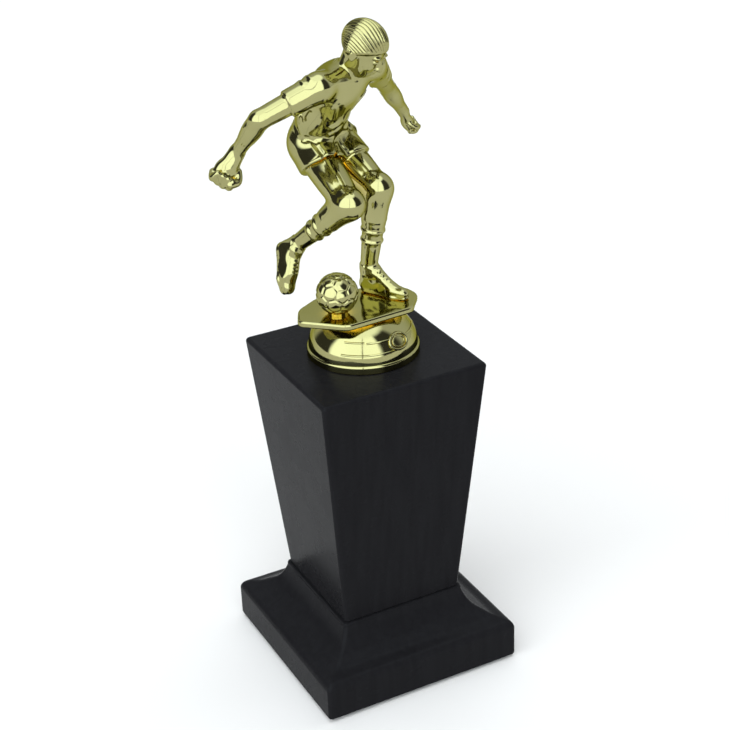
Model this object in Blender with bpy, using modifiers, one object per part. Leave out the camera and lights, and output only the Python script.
"""Figure trophy: a gilt footballer and ball on a bell pedestal, clamped to a black wooden column and base.

Metres, +Z up. The origin is the centre of the felt pad's underside and -Y is the front. The stack is felt pad,
moulded base, tapered column, bell pedestal, then the ball and the two glued halves of the figure. One threaded
rod runs from a counterbore under the base up to a nut held in the pedestal's boss.
"""

import math

import bmesh
import bpy
from mathutils import Matrix, Vector

MM = 0.001
GAP = 0.3 * MM  # clearance between pieces that touch

# Wooden stand
PAD_SIDE = 76 * MM
PAD_THICKNESS = 1.0 * MM
BASE_SIDE = 82 * MM
BASE_HEIGHT = 29 * MM
SLAB_HEIGHT = 13.5 * MM  # vertical side of the base, up to its rounded shoulder
COLUMN_FOOT = 49.5 * MM
COLUMN_HEAD = 67 * MM
COLUMN_HEIGHT = 98.7 * MM
CORNER_ROUND = 1.5 * MM
BASE_Z = PAD_THICKNESS + GAP
BASE_TOP_Z = BASE_Z + BASE_HEIGHT
COLUMN_Z = BASE_TOP_Z + GAP
COLUMN_TOP_Z = COLUMN_Z + COLUMN_HEIGHT

# Rod, nuts and washers, M6
ROD_RADIUS = 2.85 * MM
NUT_BORE_RADIUS = 3.15 * MM
NUT_FLATS = 10 * MM
NUT_THICKNESS = 5 * MM
WOOD_BORE_RADIUS = 3.5 * MM
WASHER_RADIUS = 9 * MM
WASHER_THICKNESS = 1.6 * MM
LOCK_WASHER_RADIUS = 5.9 * MM
COUNTERBORE_RADIUS = 9.6 * MM
COUNTERBORE_DEPTH = 11 * MM
ROD_Z = 2.0 * MM
ROD_TOP_Z = COLUMN_TOP_Z + 12 * MM
DOWEL_RADIUS = 3 * MM
DOWEL_LENGTH = 22 * MM
DOWEL_OFFSET = 14 * MM

# Pedestal, heights above the column's top
BELL_RADIUS = 20.2 * MM
BELL_RISE = 15 * MM
BELL_WALL = 2 * MM
RING_RADIUS = 20.9 * MM
RING_HEIGHT = 3.6 * MM
PLATFORM_TOP = 18.7 * MM
PLATFORM_THICKNESS = 2.5 * MM
PLATFORM_EDGE = 0.6 * MM
PLATFORM_OUTLINE = ((-26.5, -1), (-13, -14), (14.5, -12.5), (22, -3), (21, 4), (12, 12.5), (-12, 13.6), (-22, 8))
BOSS_RADIUS = 8 * MM
BOSS_BORE_DEPTH = 13.5 * MM
WEB_THICKNESS = 1.4 * MM
STUD_RADIUS = 1.1 * MM
STUD_HEIGHT = 4 * MM

# Figure, in millimetres from the centre of the column's top
BALL_CENTRE = Vector((-10.8, -2.3, 26.4))
BALL_RADIUS = 7.7 * MM
FACING_DEG = 24.0  # the chest is turned this far from -Y towards +X
HEAD_TURN_DEG = 36.0  # the head is turned this far the same way
HEAD_BOW_DEG = 32.0  # and looks this far down
JOINT = {
    "head": (6.8, 3.2, 113.0),
    "neck": (2.6, 7.6, 105.0),
    "pelvis": (-1.8, 26.6, 73.5),
    "shoulder_r": (-10.9, 4.0, 101.5),
    "elbow_r": (-32.6, 6.8, 93.2),
    "wrist_r": (-37.8, 16.0, 79.8),
    "fist_r": (-42.5, 16.2, 73.5),
    "shoulder_l": (14.4, 12.6, 102.8),
    "elbow_l": (26.8, 25.0, 88.6),
    "wrist_l": (37.0, 32.6, 75.8),
    "fist_l": (40.0, 34.6, 70.0),
    "hip_r": (-5.5, 23.5, 72.5),
    "knee_r": (-4.7, -2.5, 59.3),
    "ankle_r": (-16.2, 18.0, 39.6),
    "heel_r": (-19.6, 19.4, 37.6),
    "toe_r": (-22.2, 13.8, 25.3),
    "hip_l": (5.5, 29.0, 71.5),
    "knee_l": (10.8, 5.0, 59.5),
    "ankle_l": (8.3, 9.4, 28.0),
    "heel_l": (7.2, 8.6, 21.8),
    "toe_l": (14.8, -4.4, 21.6),
}
SHELL_WALL = 2.0  # of the torso and thighs, millimetres
FIGURE_VOXEL = 1.2 * MM
SKIN_FACES_KEPT = 0.13  # share of the remeshed skin that the thinning leaves

FACING = math.radians(FACING_DEG)
HEAD_TURN = math.radians(HEAD_TURN_DEG)
HEAD_BOW = math.radians(HEAD_BOW_DEG)
LEFT = Vector((math.cos(FACING), math.sin(FACING), 0))
FORWARD = Vector((math.sin(FACING), -math.cos(FACING), 0))
UP = Vector((0, 0, 1))


# ---------------------------------------------------------------- scene, materials and modifiers


def empty_scene():
    for thing in list(bpy.data.objects):
        bpy.data.objects.remove(thing, do_unlink=True)
    parts = bpy.data.collections.new("figure_trophy")
    cutters = bpy.data.collections.new("cutters")
    for collection in (parts, cutters):
        bpy.context.scene.collection.children.link(collection)
    return parts, cutters


PARTS, CUTTERS = empty_scene()


def material(name, colour, roughness, metallic=0.0):
    made = bpy.data.materials.new(name)
    made.use_nodes = True
    shader = made.node_tree.nodes["Principled BSDF"]
    shader.inputs["Base Color"].default_value = (*colour, 1)
    shader.inputs["Roughness"].default_value = roughness
    shader.inputs["Metallic"].default_value = metallic
    made.diffuse_color = (*colour, 1)
    return made


def new_part(name, bm, colour, roughness, metallic=0.0, sharp_deg=35):
    """A named piece from a bmesh, with a material of its own."""
    mesh = bpy.data.meshes.new(name)
    bm.to_mesh(mesh)
    bm.free()
    mesh.shade_smooth()
    mesh.set_sharp_from_angle(angle=math.radians(sharp_deg))
    part = bpy.data.objects.new(name, mesh)
    mesh.materials.append(material(name, colour, roughness, metallic))
    PARTS.objects.link(part)
    return part


def new_cutter(name, bm):
    mesh = bpy.data.meshes.new(name)
    bm.to_mesh(mesh)
    bm.free()
    cutter = bpy.data.objects.new(name, mesh)
    cutter.hide_render = True
    cutter.display_type = "WIRE"
    CUTTERS.objects.link(cutter)
    return cutter


def combine(part, tool, operation, solver="EXACT"):
    boolean = part.modifiers.new(f"{operation.lower()}_{tool.name}", "BOOLEAN")
    boolean.operation = operation
    boolean.solver = solver
    boolean.object = tool
    return part


def bevel(part, width, segments=3, limit_deg=40):
    rounding = part.modifiers.new("rounding", "BEVEL")
    rounding.width = width
    rounding.segments = segments
    rounding.limit_method = "ANGLE"
    rounding.angle_limit = math.radians(limit_deg)
    return part


def turned(part, steps):
    """Turns the part's profile, which runs down its outer side at +X, about Z."""
    screw = part.modifiers.new("turned", "SCREW")
    screw.axis = "Z"
    screw.steps = steps
    screw.render_steps = steps
    screw.use_merge_vertices = True
    screw.merge_threshold = 0.00001
    return part


# ---------------------------------------------------------------- basic shapes


def cylinder(bm, radius, low, high, centre=(0, 0), sides=32):
    place = Matrix.Translation((centre[0], centre[1], (low + high) / 2))
    bmesh.ops.create_cone(
        bm, cap_ends=True, segments=sides, radius1=radius, radius2=radius, depth=high - low, matrix=place
    )


def cylinder_cutter(name, radius, low, high, centre=(0, 0), sides=32):
    bm = bmesh.new()
    cylinder(bm, radius, low, high, centre, sides)
    return new_cutter(name, bm)


def hexagon(bm, flats, low, high):
    place = Matrix.Translation((0, 0, (low + high) / 2))
    corner = flats / 2 / math.cos(math.pi / 6)
    bmesh.ops.create_cone(
        bm, cap_ends=True, segments=6, radius1=corner, radius2=corner, depth=high - low, matrix=place
    )


def box(bm, size, centre):
    place = Matrix.Translation(centre) @ Matrix.Diagonal((*size, 1))
    bmesh.ops.create_cube(bm, size=1, matrix=place)


def profile(points, closed=False):
    """A bmesh line in the XZ plane through (radius, height) points."""
    bm = bmesh.new()
    dots = [bm.verts.new((r, 0, z)) for r, z in points]
    for a, b in zip(dots, dots[1:]):
        bm.edges.new((a, b))
    if closed:
        bm.edges.new((dots[-1], dots[0]))
    return bm


def arc(centre, radii, start_deg, end_deg, count):
    """Points along an elliptical arc, as (radius, height)."""
    points = []
    for k in range(count + 1):
        angle = math.radians(start_deg + (end_deg - start_deg) * k / count)
        points.append((centre[0] + radii[0] * math.cos(angle), centre[1] + radii[1] * math.sin(angle)))
    return points


# ---------------------------------------------------------------- wooden stand

BLACK_PAINT = ((0.02, 0.02, 0.022), 0.35)
BARE_STEEL = ((0.62, 0.63, 0.64), 0.35, 1.0)


def felt_pad():
    bm = bmesh.new()
    box(bm, (PAD_SIDE, PAD_SIDE, PAD_THICKNESS), (0, 0, PAD_THICKNESS / 2))
    corners = [e for e in bm.edges if abs((e.verts[0].co - e.verts[1].co).normalized().z) > 0.9]
    bmesh.ops.bevel(bm, geom=corners, offset=2 * MM, segments=3, affect="EDGES", profile=0.5)
    return new_part("felt_pad", bm, (0.015, 0.015, 0.017), 0.95)


def base_profile():
    """Half-width and height down the side: flat top, collar, cove, sloping tread, rounded shoulder, slab."""
    top = BASE_TOP_Z
    half = BASE_SIDE / 2
    collar = COLUMN_FOOT / 2
    shoulder = 3.5 * MM
    points = [(0, top), (collar, top), (collar + 1.0 * MM, top - 2.2 * MM), (collar + 2.6 * MM, top - 5.4 * MM)]
    points += [(collar + 4.6 * MM, top - 8.5 * MM), (collar + 8.2 * MM, top - 11.0 * MM)]
    points += [(half - shoulder - 0.8 * MM, BASE_Z + SLAB_HEIGHT + 2.8 * MM)]
    points += arc((half - shoulder, BASE_Z + SLAB_HEIGHT - 1.2 * MM), (shoulder, shoulder), 78, 0, 4)
    points += [(half, BASE_Z), (0, BASE_Z)]
    return points


def dowel_holes(tag, low, high):
    for side, x in (("left", -DOWEL_OFFSET), ("right", DOWEL_OFFSET)):
        yield cylinder_cutter(f"{tag}_dowel_hole_{side}", DOWEL_RADIUS + GAP, low, high, (x, 0), 20)


def base_plinth():
    corner = math.sqrt(2)
    bm = profile([(half * corner, z) for half, z in base_profile()])
    part = turned(new_part("base_plinth", bm, *BLACK_PAINT), 4)
    part.rotation_euler.z = math.pi / 4
    bevel(part, CORNER_ROUND, 2, 60)
    combine(part, cylinder_cutter("base_bore", WOOD_BORE_RADIUS, 0, BASE_TOP_Z + 5 * MM, sides=20), "DIFFERENCE")
    well = cylinder_cutter("nut_counterbore", COUNTERBORE_RADIUS, BASE_Z - 5 * MM, BASE_Z + COUNTERBORE_DEPTH)
    combine(part, well, "DIFFERENCE")
    for hole in dowel_holes("base", BASE_TOP_Z - DOWEL_LENGTH / 2 - 2 * GAP, BASE_TOP_Z + 5 * MM):
        combine(part, hole, "DIFFERENCE")
    return part


def column_block():
    bm = bmesh.new()
    to_corner = math.sqrt(2) / 2
    place = Matrix.Translation((0, 0, COLUMN_Z + COLUMN_HEIGHT / 2)) @ Matrix.Rotation(math.pi / 4, 4, "Z")
    bmesh.ops.create_cone(
        bm,
        cap_ends=True,
        segments=4,
        radius1=COLUMN_FOOT * to_corner,
        radius2=COLUMN_HEAD * to_corner,
        depth=COLUMN_HEIGHT,
        matrix=place,
    )
    part = bevel(new_part("column_block", bm, *BLACK_PAINT), CORNER_ROUND)
    bore = cylinder_cutter("column_bore", WOOD_BORE_RADIUS, COLUMN_Z - 5 * MM, COLUMN_TOP_Z + 5 * MM, sides=20)
    combine(part, bore, "DIFFERENCE")
    for hole in dowel_holes("column", COLUMN_Z - 5 * MM, COLUMN_Z + DOWEL_LENGTH / 2 + 2 * GAP):
        combine(part, hole, "DIFFERENCE")
    return part


def dowel(name, x):
    bm = bmesh.new()
    middle = (BASE_TOP_Z + COLUMN_Z) / 2
    cylinder(bm, DOWEL_RADIUS, middle - DOWEL_LENGTH / 2, middle + DOWEL_LENGTH / 2, (x, 0), 20)
    return bevel(new_part(name, bm, (0.62, 0.45, 0.27), 0.7), 0.5 * MM, 1)


# ---------------------------------------------------------------- clamping rod


def threaded_rod():
    bm = bmesh.new()
    cylinder(bm, ROD_RADIUS, ROD_Z, ROD_TOP_Z, sides=20)
    return bevel(new_part("threaded_rod", bm, *BARE_STEEL), 0.6 * MM, 1)


def hex_nut(name, low):
    bm = bmesh.new()
    hexagon(bm, NUT_FLATS, low, low + NUT_THICKNESS)
    part = bevel(new_part(name, bm, *BARE_STEEL), 0.3 * MM, 1)
    thread = cylinder_cutter(f"{name}_thread", NUT_BORE_RADIUS, low - MM, low + NUT_THICKNESS + MM, sides=20)
    return combine(part, thread, "DIFFERENCE")


def washer(name, radius, low):
    bm = bmesh.new()
    cylinder(bm, radius, low, low + WASHER_THICKNESS)
    part = new_part(name, bm, *BARE_STEEL)
    hole = cylinder_cutter(f"{name}_hole", NUT_BORE_RADIUS, low - MM, low + WASHER_THICKNESS + MM, sides=20)
    return combine(part, hole, "DIFFERENCE")


def clamping_hardware():
    threaded_rod()
    flat_z = BASE_Z + COUNTERBORE_DEPTH - GAP - WASHER_THICKNESS
    washer("flat_washer", WASHER_RADIUS, flat_z)
    lock_z = flat_z - GAP - WASHER_THICKNESS
    lock_washer = washer("lock_washer", LOCK_WASHER_RADIUS, lock_z)
    split = bmesh.new()
    box(split, (5 * MM, 0.8 * MM, 4 * MM), (5 * MM, 0, lock_z + WASHER_THICKNESS / 2))
    combine(lock_washer, new_cutter("lock_washer_split", split), "DIFFERENCE")
    hex_nut("base_nut", lock_z - GAP - NUT_THICKNESS)
    hex_nut("pedestal_nut", COLUMN_TOP_Z + 2 * GAP)


# ---------------------------------------------------------------- pedestal and ball

GILT = ((0.80, 0.70, 0.34), 0.12, 1.0)


def bell_profile():
    """Closed section of the bell's wall: outer dome down to the foot ring, then up the inside."""
    foot = COLUMN_TOP_Z + GAP
    spring = COLUMN_TOP_Z + RING_HEIGHT
    top = COLUMN_TOP_Z + PLATFORM_TOP - 1.2 * MM
    outer = arc((0, spring), (BELL_RADIUS, BELL_RISE), 62, 0, 9)
    ring = [(RING_RADIUS - 0.3 * MM, spring - 0.5 * MM), (RING_RADIUS, spring - 1.4 * MM), (RING_RADIUS, foot)]
    inner = arc((0, spring), (BELL_RADIUS - BELL_WALL, BELL_RISE - BELL_WALL), 0, 70, 8)
    return outer + ring + [(BELL_RADIUS - BELL_WALL, foot)] + inner + [(inner[-1][0], top)]


def platform_plate():
    """The faceted plate that the footballer and ball stand on."""
    curve = bpy.data.curves.new("platform_outline", "CURVE")
    curve.dimensions = "2D"
    curve.fill_mode = "BOTH"
    curve.extrude = PLATFORM_THICKNESS / 2
    spline = curve.splines.new("POLY")
    spline.points.add(len(PLATFORM_OUTLINE) - 1)
    for point, (x, y) in zip(spline.points, PLATFORM_OUTLINE):
        point.co = (x * MM, y * MM, 0, 1)
    spline.use_cyclic_u = True
    outline = bpy.data.objects.new("platform_outline", curve)
    CUTTERS.objects.link(outline)
    bpy.context.view_layer.update()
    mesh = bpy.data.meshes.new_from_object(outline.evaluated_get(bpy.context.evaluated_depsgraph_get()))
    bpy.data.objects.remove(outline)
    bm = bmesh.new()
    bm.from_mesh(mesh)
    bmesh.ops.remove_doubles(bm, verts=bm.verts, dist=0.00001)
    bmesh.ops.dissolve_limit(bm, angle_limit=math.radians(1), verts=bm.verts, edges=bm.edges)
    bmesh.ops.recalc_face_normals(bm, faces=bm.faces)
    bmesh.ops.translate(bm, verts=bm.verts, vec=(0, 0, COLUMN_TOP_Z + PLATFORM_TOP - PLATFORM_THICKNESS / 2))
    return bm


def stud_places():
    """Under the standing heel and under the ball, where small studs locate them."""
    heel = Vector(JOINT["heel_l"]) + Vector((0.4, -0.6, 0))
    return (("heel", (heel.x * MM, heel.y * MM)), ("ball", (BALL_CENTRE.x * MM, BALL_CENTRE.y * MM)))


def pedestal():
    foot = COLUMN_TOP_Z + GAP
    deck = COLUMN_TOP_Z + PLATFORM_TOP
    part = bevel(new_part("pedestal", platform_plate(), *GILT), PLATFORM_EDGE, 2)
    wall = turned(new_cutter("bell_wall", profile(bell_profile(), closed=True)), 40)
    combine(part, wall, "UNION")
    boss = cylinder_cutter("nut_boss", BOSS_RADIUS, foot, deck - 1.5 * MM, sides=24)
    combine(part, boss, "UNION")
    for name, size in (("web_x", (36.6 * MM, WEB_THICKNESS)), ("web_y", (WEB_THICKNESS, 36.6 * MM))):
        web = bmesh.new()
        box(web, (*size, 7.4 * MM), (0, 0, foot + 4.5 * MM))
        combine(part, new_cutter(name, web), "UNION")
    for name, place in stud_places():
        stud = cylinder_cutter(f"{name}_stud", STUD_RADIUS, deck - MM, deck + STUD_HEIGHT, place, 12)
        combine(part, stud, "UNION")
    pocket = bmesh.new()
    hexagon(pocket, NUT_FLATS + 2 * GAP, foot - 5 * MM, foot + NUT_THICKNESS + 2 * GAP)
    combine(part, new_cutter("nut_pocket", pocket), "DIFFERENCE")
    bore = cylinder_cutter("boss_bore", NUT_BORE_RADIUS + GAP, foot - 5 * MM, foot + BOSS_BORE_DEPTH, sides=20)
    return combine(part, bore, "DIFFERENCE")


def sole_level():
    return COLUMN_TOP_Z + PLATFORM_TOP + GAP


def stud_socket(name, place):
    low = sole_level() - 3 * MM
    high = COLUMN_TOP_Z + PLATFORM_TOP + STUD_HEIGHT + GAP
    return cylinder_cutter(f"{name}_socket", STUD_RADIUS + GAP, low, high, place, 12)


def deck_cutter():
    """Everything under the sole of the standing boot and the foot of the ball."""
    bm = bmesh.new()
    box(bm, (90 * MM, 90 * MM, 8 * MM), (0, 0, sole_level() - 4 * MM))
    return new_cutter("under_the_soles", bm)


def ball(deck):
    bm = bmesh.new()
    place = Matrix.Translation(BALL_CENTRE * MM + Vector((0, 0, COLUMN_TOP_Z)))
    bmesh.ops.create_uvsphere(bm, u_segments=24, v_segments=16, radius=BALL_RADIUS, matrix=place)
    part = new_part("ball", bm, *GILT)
    combine(part, deck, "DIFFERENCE")
    return combine(part, stud_socket(*stud_places()[1]), "DIFFERENCE")


# ---------------------------------------------------------------- figure


def joint(name, other=None, share=0.0):
    """A joint's place, or a place part of the way from it to another joint, in millimetres."""
    place = Vector(JOINT[name])
    return place.lerp(Vector(JOINT[other]), share) if other else place


def axes(along, side):
    """Unit side, back and along directions of a body segment."""
    along = along.normalized()
    side = (side - side.dot(along) * along).normalized()
    return side, along.cross(side), along


TRUNK_AXES = axes(joint("neck") - joint("pelvis"), LEFT)
GAZE = Vector(
    (
        math.sin(HEAD_TURN) * math.cos(HEAD_BOW),
        -math.cos(HEAD_TURN) * math.cos(HEAD_BOW),
        -math.sin(HEAD_BOW),
    )
)
HEAD_AXES = axes(UP - UP.dot(GAZE) * GAZE, UP.cross(GAZE))


def on_trunk(share, side, back):
    return joint("pelvis", "neck", share) + side * TRUNK_AXES[0] + back * TRUNK_AXES[1]


def on_head(back, up):
    return joint("head") + back * HEAD_AXES[1] + up * HEAD_AXES[2]


def add_ball(bm, place, radius):
    place = Matrix.Translation(place * MM + Vector((0, 0, COLUMN_TOP_Z)))
    bmesh.ops.create_uvsphere(bm, u_segments=24, v_segments=14, radius=radius * MM, matrix=place)


def add_oval(bm, place, radii, directions):
    turn = Matrix(directions).transposed().to_4x4()
    place = Matrix.Translation(place * MM + Vector((0, 0, COLUMN_TOP_Z)))
    scale = Matrix.Diagonal((*radii, 1))
    bmesh.ops.create_uvsphere(bm, u_segments=32, v_segments=20, radius=MM, matrix=place @ turn @ scale)


def add_limb(bm, start, start_radius, end, end_radius):
    """A tapered limb segment with round ends."""
    add_ball(bm, start, start_radius)
    add_ball(bm, end, end_radius)
    along = end - start
    turn = along.to_track_quat("Z", "Y").to_matrix().to_4x4()
    place = Matrix.Translation((start + end) / 2 * MM + Vector((0, 0, COLUMN_TOP_Z)))
    bmesh.ops.create_cone(
        bm,
        cap_ends=True,
        segments=24,
        radius1=start_radius * MM,
        radius2=end_radius * MM,
        depth=along.length * MM,
        matrix=place @ turn,
    )


def add_trunk(bm, wall):
    """Chest, waist and seat; wall takes the inside surface that far in."""
    add_oval(bm, on_trunk(0.76, -0.5, 1.0), [r - wall for r in (12.5, 8.8, 9.5)], TRUNK_AXES)
    add_oval(bm, on_trunk(0.40, -1.0, 2.2), [r - wall for r in (11.4, 8.6, 13.0)], TRUNK_AXES)
    add_oval(bm, on_trunk(0.06, -0.6, 1.0), [r - wall for r in (11.8, 9.2, 9.0)], TRUNK_AXES)


def add_arm(bm, side, upper_radius, elbow_radius, wrist_radius, fist_radii):
    shoulder, elbow, wrist = (f"{part}_{side}" for part in ("shoulder", "elbow", "wrist"))
    add_limb(bm, joint(shoulder), upper_radius, joint(elbow), elbow_radius)
    add_limb(bm, joint(shoulder), upper_radius + 0.6, joint(shoulder, elbow, 0.55), elbow_radius + 0.8)
    add_limb(bm, joint(elbow), elbow_radius, joint(wrist), wrist_radius)
    add_oval(bm, joint(f"fist_{side}"), fist_radii, axes(joint(f"fist_{side}") - joint(wrist), LEFT))
    collar = joint("neck", shoulder, 0.35) - 2.5 * TRUNK_AXES[2]
    add_limb(bm, collar, 5.0, joint(shoulder) - 0.3 * TRUNK_AXES[2], upper_radius + 0.6)


def add_leg(bm, side, wall=0.0):
    hip, knee, ankle = (f"{part}_{side}" for part in ("hip", "knee", "ankle"))
    add_limb(bm, joint(hip) + 0.5 * UP, 8.2 - wall, joint(hip, knee, 0.3), 7.8 - wall)
    add_limb(bm, joint(hip), 7.4 - wall, joint(knee), 5.2 - wall)
    if not wall:
        add_limb(bm, joint(knee), 5.0, joint(knee, ankle, 0.4), 4.4)
        add_limb(bm, joint(knee, ankle, 0.4), 4.4, joint(ankle), 3.1)


def figure_skin(bm):
    add_limb(bm, joint("neck") - 2 * TRUNK_AXES[2], 4.2, joint("neck", "head", 0.8), 3.8)
    add_oval(bm, on_head(0.6, 1.6), (6.7, 8.3, 7.6), HEAD_AXES)
    add_oval(bm, on_head(-2.6, -3.6), (5.2, 5.4, 7.2), HEAD_AXES)
    add_trunk(bm, 0.0)
    add_arm(bm, "r", 4.5, 3.6, 2.5, (4.4, 4.6, 5.2))
    add_arm(bm, "l", 4.2, 3.2, 2.3, (3.4, 3.8, 4.6))
    add_leg(bm, "r")
    add_leg(bm, "l")
    add_limb(bm, joint("heel_r"), 3.2, joint("toe_r"), 2.6)
    add_limb(bm, joint("ankle_r"), 3.4, joint("toe_r"), 2.6)
    add_limb(bm, joint("heel_l"), 2.9, joint("ankle_l"), 3.1)
    add_limb(bm, joint("ankle_l"), 3.0, joint("toe_l"), 2.3)
    add_limb(bm, joint("heel_l"), 2.9, joint("toe_l"), 2.3)


def fuse(part, kept):
    """Makes one even skin round overlapping shapes, then thins its faces."""
    skin = part.modifiers.new("skin", "REMESH")
    skin.mode = "VOXEL"
    skin.voxel_size = FIGURE_VOXEL
    skin.use_smooth_shade = True
    smooth = part.modifiers.new("smooth", "SMOOTH")
    smooth.factor = 0.5
    smooth.iterations = 3
    thin = part.modifiers.new("thin", "DECIMATE")
    thin.ratio = kept
    return part


def figure_cavity():
    bm = bmesh.new()
    add_trunk(bm, SHELL_WALL)
    add_leg(bm, "r", SHELL_WALL)
    add_leg(bm, "l", SHELL_WALL)
    return fuse(new_cutter("figure_cavity", bm), SKIN_FACES_KEPT)


LIMB_LINES = (
    ("pelvis", "neck", "head"),
    ("neck", "shoulder_r", "elbow_r", "wrist_r", "fist_r"),
    ("neck", "shoulder_l", "elbow_l", "wrist_l", "fist_l"),
    ("pelvis", "hip_r", "knee_r", "ankle_r", "toe_r"),
    ("pelvis", "hip_l", "knee_l", "ankle_l", "toe_l"),
)
SAMPLES_PER_BONE = 8


def bone_samples():
    """Places along every limb's centre line, as (across, up, depth) in millimetres."""
    samples = []
    for line in LIMB_LINES:
        for a, b in zip(line, line[1:]):
            for k in range(SAMPLES_PER_BONE):
                place = joint(a, b, k / SAMPLES_PER_BONE)
                samples.append((place.dot(LEFT), place.z, place.dot(FORWARD)))
    return samples


def parting_depth(samples, across, up):
    """How far forward the parting surface lies: a smooth sheet through the limbs' centre lines."""
    total = 0.0
    depth = 0.0
    for s, z, d in samples:
        weight = 1 / ((across - s) ** 2 + (up - z) ** 2 + 2.0) ** 2
        total += weight
        depth += weight * d
    return depth / total


def parting_block(name, shift):
    """A solid whose back is the parting surface moved forward by shift, and which holds all in front."""
    samples = bone_samples()
    columns, rows = 34, 34
    across_low, across_high = -50.0, 72.0
    up_low, up_high = 10.0, 132.0
    bm = bmesh.new()
    bmesh.ops.create_grid(bm, x_segments=columns, y_segments=rows, size=0.5)
    for dot in bm.verts:
        across = across_low + (dot.co.x + 0.5) * (across_high - across_low)
        up = up_low + (dot.co.y + 0.5) * (up_high - up_low)
        depth = parting_depth(samples, across, up)
        dot.co = (across * LEFT + depth * FORWARD + up * UP) * MM + shift * FORWARD + Vector((0, 0, COLUMN_TOP_Z))
    bmesh.ops.triangulate(bm, faces=bm.faces[:], quad_method="FIXED")
    grown = bmesh.ops.extrude_face_region(bm, geom=bm.faces[:])
    moved = [g for g in grown["geom"] if isinstance(g, bmesh.types.BMVert)]
    bmesh.ops.translate(bm, verts=moved, vec=FORWARD * 90 * MM)
    bmesh.ops.recalc_face_normals(bm, faces=bm.faces)
    return new_cutter(name, bm)


def figure_half(name, cavity, deck, socket, block, operation):
    bm = bmesh.new()
    figure_skin(bm)
    part = fuse(new_part(name, bm, *GILT), SKIN_FACES_KEPT)
    for cutter in (cavity, deck, socket):
        combine(part, cutter, "DIFFERENCE", "MANIFOLD")
    return combine(part, block, operation, "MANIFOLD")


def figure(deck):
    cavity = figure_cavity()
    socket = stud_socket(*stud_places()[0])
    front_block = parting_block("front_block", GAP / 2)
    back_block = parting_block("back_block", -GAP / 2)
    figure_half("figure_front_half", cavity, deck, socket, front_block, "INTERSECT")
    figure_half("figure_back_half", cavity, deck, socket, back_block, "DIFFERENCE")


# ---------------------------------------------------------------- assembly


def main():
    felt_pad()
    base_plinth()
    column_block()
    dowel("dowel_left", -DOWEL_OFFSET)
    dowel("dowel_right", DOWEL_OFFSET)
    clamping_hardware()
    pedestal()
    deck = deck_cutter()
    ball(deck)
    figure(deck)
    trophy = bpy.data.objects.new("figure_trophy", None)
    PARTS.objects.link(trophy)
    for part in PARTS.objects:
        if part is not trophy:
            part.parent = trophy


main()
